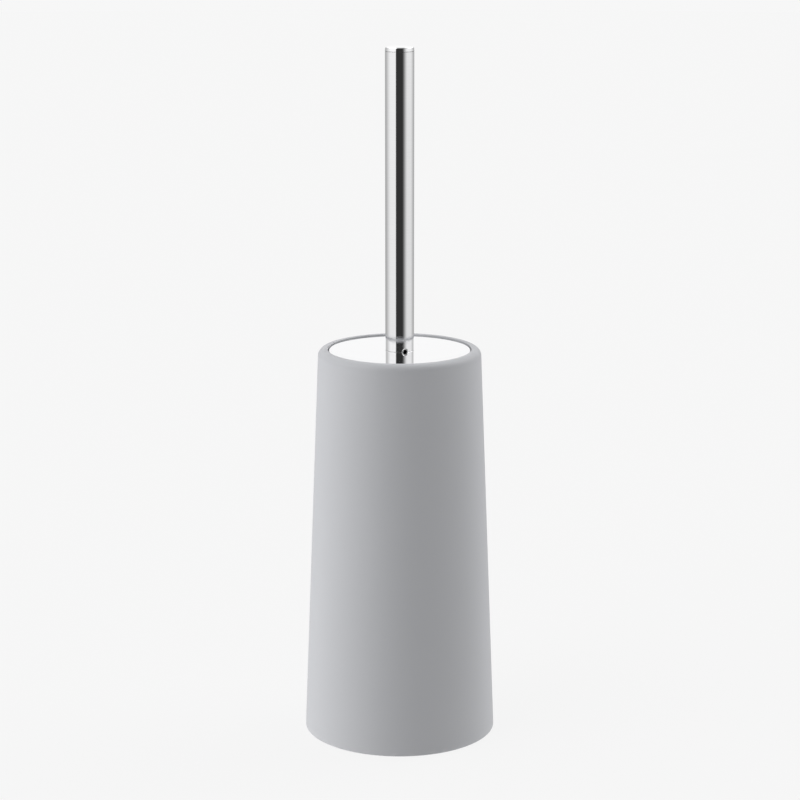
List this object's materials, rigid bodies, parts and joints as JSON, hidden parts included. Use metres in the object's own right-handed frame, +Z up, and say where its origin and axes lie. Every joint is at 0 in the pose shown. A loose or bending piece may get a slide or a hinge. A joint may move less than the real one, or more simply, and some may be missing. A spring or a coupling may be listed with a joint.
{
  "type": "toilet brush holder",
  "caption": "Free-standing conical toilet brush holder with a flush round lid; the lid lifts out on a tall straight tube handle with the brush below.",
  "frame": {"origin": "on the floor, at the middle of the foot", "axes": "+Z up along the handle; -Y faces the viewer"},
  "size_m": [0.1086, 0.1086, 0.3893],
  "materials": {
    "shell_plastic": "soft-touch matt, neutral cool grey",
    "cup_plastic": "fine matt grain, dark grey",
    "foot_rubber": "matt soft ring",
    "polished_steel": "mirror polished stainless steel",
    "turned_steel": "turned, fine tool lines",
    "stud_steel": "zinc plated rod",
    "insert_plastic": "satin black moulding",
    "washer_nylon": "natural nylon",
    "seal_rubber": "matt",
    "core_plastic": "satin white moulding",
    "bristle_nylon": "translucent white filaments",
    "staple_metal": "flattened wire"
  },
  "bodies": {
    "base": {"base_cup": "cup_plastic", "foot_ring": "foot_rubber"},
    "shell": {"outer_shell": "shell_plastic"},
    "lid": {"lid_plate": "polished_steel", "lid_insert": "insert_plastic"},
    "handle": {"handle_tube": "polished_steel", "handle_cap": "polished_steel", "handle_insert": "turned_steel", "joining_stud": "stud_steel", "lid_washer": "washer_nylon", "stem_top_insert": "turned_steel", "stem_tube": "polished_steel", "stem_thread_insert": "turned_steel"},
    "washer": {"head_washer": "seal_rubber"},
    "head": {"head_core": "core_plastic", "tuft_staples": "staple_metal", "bristle_row_1": "bristle_nylon", "bristle_row_2": "bristle_nylon", "bristle_row_3": "bristle_nylon", "bristle_row_4": "bristle_nylon", "bristle_row_5": "bristle_nylon", "bristle_row_6": "bristle_nylon", "bristle_row_7": "bristle_nylon", "bristle_dome_1": "bristle_nylon", "bristle_dome_2": "bristle_nylon", "bristle_dome_3": "bristle_nylon", "bristle_tip": "bristle_nylon"}
  },
  "joints": [
    {"name": "shell_lift", "type": "slide", "parent": "base", "child": "shell", "axis": [0, 0, 1], "range_m": [0, 0.06]},
    {"name": "brush_lift", "type": "slide", "parent": "shell", "child": "lid", "axis": [0, 0, 1], "range_m": [0, 0.23]},
    {"name": "handle_spin", "type": "hinge", "parent": "lid", "child": "handle", "pos_m": [0, 0, 0.2212], "axis": [0, 0, 1], "continuous": true},
    {"name": "head_drop", "type": "slide", "parent": "handle", "child": "washer", "axis": [0, 0, -1], "range_m": [0, 0.012]},
    {"name": "head_unscrew", "type": "hinge", "parent": "washer", "child": "head", "pos_m": [0, 0, 0.1385], "axis": [0, 0, -1], "range_deg": [0, 1441]}
  ],
  "couplings": [
    {"joint": "head_unscrew", "follows": "head_drop", "rad_per_m": 2094.4}
  ]
}
